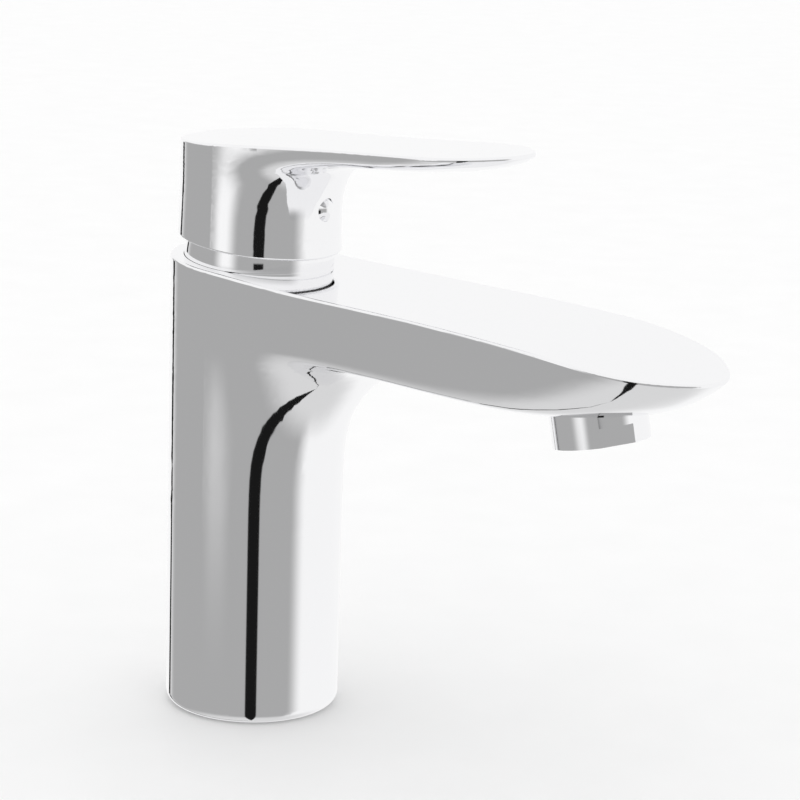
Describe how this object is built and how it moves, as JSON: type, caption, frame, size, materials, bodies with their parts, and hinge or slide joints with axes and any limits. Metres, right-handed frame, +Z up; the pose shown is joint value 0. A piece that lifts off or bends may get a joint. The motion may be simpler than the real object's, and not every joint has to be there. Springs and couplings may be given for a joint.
{
  "type": "single-lever bathroom basin mixer tap",
  "caption": "Single-lever basin mixer: round column, long flat-topped spout with a tilted aerator, and a flat lever that lifts for flow and turns for temperature.",
  "frame": {"origin": "centre of the column's base opening, on the plane the mixer stands on", "axes": "+X along the spout, +Z up the column, +Y to the side of the cold inlet"},
  "size_m": [0.1738, 0.0568, 0.1687],
  "materials": {
    "body_chrome": "polished chrome plating on cast brass",
    "handle_chrome": "polished chrome plating",
    "trim_chrome": "polished chrome plating",
    "brass": "turned brass",
    "steel": "stainless steel",
    "cartridge_plastic": "moulded acetal",
    "carrier_plastic": "moulded acetal",
    "limit_ring_plastic": "moulded plastic",
    "ceramic": "lapped alumina",
    "rubber": "moulded rubber"
  },
  "bodies": {
    "mixer_body": {"body_casting": "body_chrome", "inlet_block": "brass", "base_seal": "rubber", "cover_ring": "trim_chrome", "cartridge_nut": "brass", "cartridge_housing": "cartridge_plastic", "cartridge_base": "cartridge_plastic", "inlet_seal_hot": "rubber", "inlet_seal_cold": "rubber", "fixed_ceramic_disc": "ceramic", "thrust_washer": "limit_ring_plastic", "temperature_limit_ring": "limit_ring_plastic", "aerator_housing": "trim_chrome", "aerator_insert": "cartridge_plastic", "aerator_screen": "steel", "flow_regulator": "rubber", "aerator_washer": "rubber"},
    "turning_core": {"carrier": "carrier_plastic", "pivot_pin": "steel"},
    "handle": {"lever_handle": "handle_chrome", "lever_stem": "brass", "grub_screw": "steel", "index_button": "trim_chrome"},
    "valve_disc": {"moving_ceramic_disc": "ceramic", "disc_coupler": "carrier_plastic"}
  },
  "joints": [
    {"name": "handle_turn", "type": "hinge", "parent": "mixer_body", "child": "turning_core", "pos_m": [0, 0, 0.1308], "axis": [0, 0, 1], "range_deg": [-50, 50]},
    {"name": "handle_lift", "type": "hinge", "parent": "turning_core", "child": "handle", "pos_m": [0, 0, 0.1308], "axis": [0, -1, 0], "range_deg": [0, 14]},
    {"name": "disc_slide", "type": "slide", "parent": "turning_core", "child": "valve_disc", "axis": [1, 0, 0], "range_m": [0, 0.00392]}
  ],
  "couplings": [
    {"joint": "disc_slide", "follows": "handle_lift", "m_per_rad": 0.016}
  ]
}
